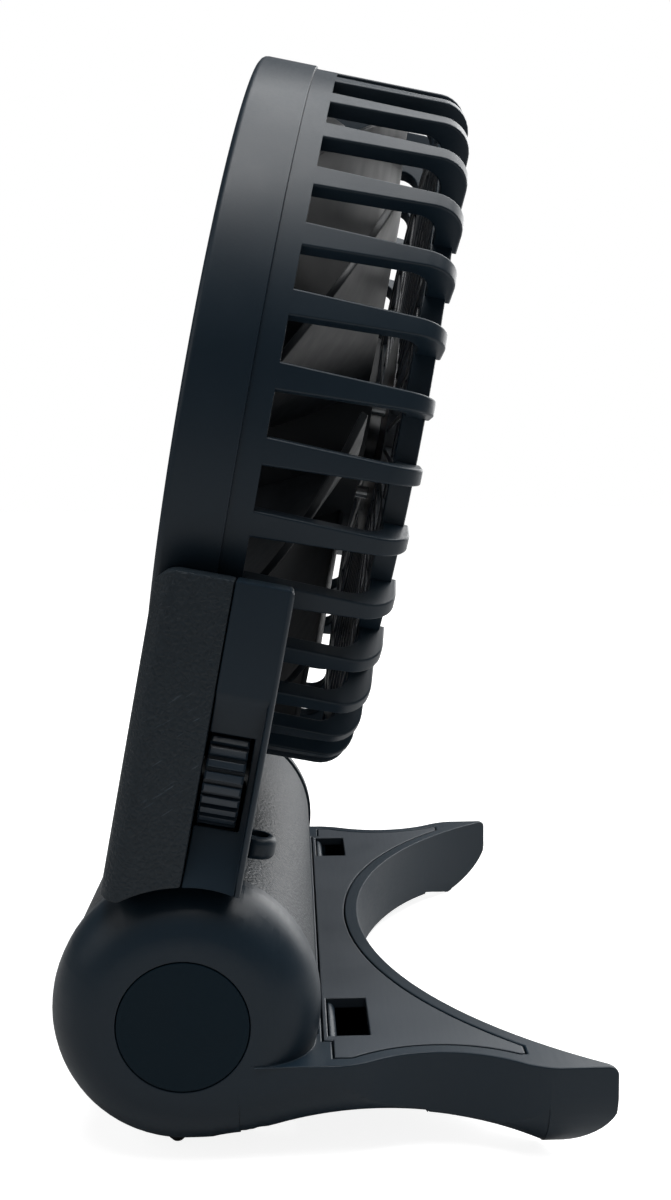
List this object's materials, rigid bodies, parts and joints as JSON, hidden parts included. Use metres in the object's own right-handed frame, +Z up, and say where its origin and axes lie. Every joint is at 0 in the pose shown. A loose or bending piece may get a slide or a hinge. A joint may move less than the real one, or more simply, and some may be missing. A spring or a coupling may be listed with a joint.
{
  "type": "folding handheld fan",
  "caption": "Rechargeable handheld fan: a round caged head on a grained battery grip that tilts and folds flat on a crescent base, with a side speed wheel.",
  "frame": {"origin": "on the surface that the fan stands on, in the middle of its bounding box seen from above", "axes": "+X points to the air inlet side, where the horns of the base end; -X is the air outlet; +Y runs along the hinge; +Z is up"},
  "size_m": [0.0742, 0.1172, 0.155],
  "materials": {
    "satin_shell": "satin",
    "grained_skin": "leather grain",
    "plate_plastic": "satin",
    "cap_plastic": "satin",
    "wheel_plastic": "satin",
    "guard_plastic": "satin",
    "impeller_plastic": "satin",
    "foot_rubber": "matte",
    "cell_sleeve": "gloss",
    "board": "satin",
    "steel": "satin",
    "copper_wire": "satin",
    "bronze": "satin",
    "magnet": "matte"
  },
  "bodies": {
    "base": {"base_frame": "satin_shell", "base_plate": "plate_plastic", "hinge_cap_near": "cap_plastic", "hinge_cap_far": "cap_plastic", "hinge_pins": "steel", "hinge_screws": "steel", "friction_washers": "steel", "rubber_feet": "foot_rubber"},
    "fan_body": {"barrel_shell": "grained_skin", "barrel_end_near": "plate_plastic", "barrel_end_far": "plate_plastic", "battery_cell": "cell_sleeve", "battery_cradle": "plate_plastic", "front_cover": "grained_skin", "control_housing": "satin_shell", "housing_screws": "steel", "catch_loops": "satin_shell", "circuit_board": "board", "wheel_encoder": "cap_plastic", "wheel_axle": "steel", "charge_port": "steel", "charge_board": "board", "front_ring": "satin_shell", "front_grille": "guard_plastic", "grille_cap": "cap_plastic", "rear_cage": "satin_shell", "rear_grille": "guard_plastic", "rear_hub_cap": "cap_plastic", "motor_screws": "steel", "motor_stator": "steel", "motor_windings": "copper_wire", "motor_bearing": "bronze"},
    "impeller": {"impeller": "impeller_plastic", "motor_shaft": "steel", "rotor_yoke": "steel", "rotor_magnet": "magnet"},
    "speed_wheel": {"speed_wheel": "wheel_plastic"}
  },
  "joints": [
    {"name": "tilt", "type": "hinge", "parent": "base", "child": "fan_body", "pos_m": [-0.0191, 0, 0.0194], "axis": [0, 1, 0], "range_deg": [-101, 79]},
    {"name": "impeller_spin", "type": "hinge", "parent": "fan_body", "child": "impeller", "pos_m": [-0.00374, 0, 0.09842], "axis": [0.9816, 0, -0.1908], "continuous": true},
    {"name": "speed_wheel_turn", "type": "hinge", "parent": "fan_body", "child": "speed_wheel", "pos_m": [-0.01296, -0.0483, 0.05101], "axis": [0.9816, 0, -0.1908], "range_deg": [0, 260]}
  ]
}
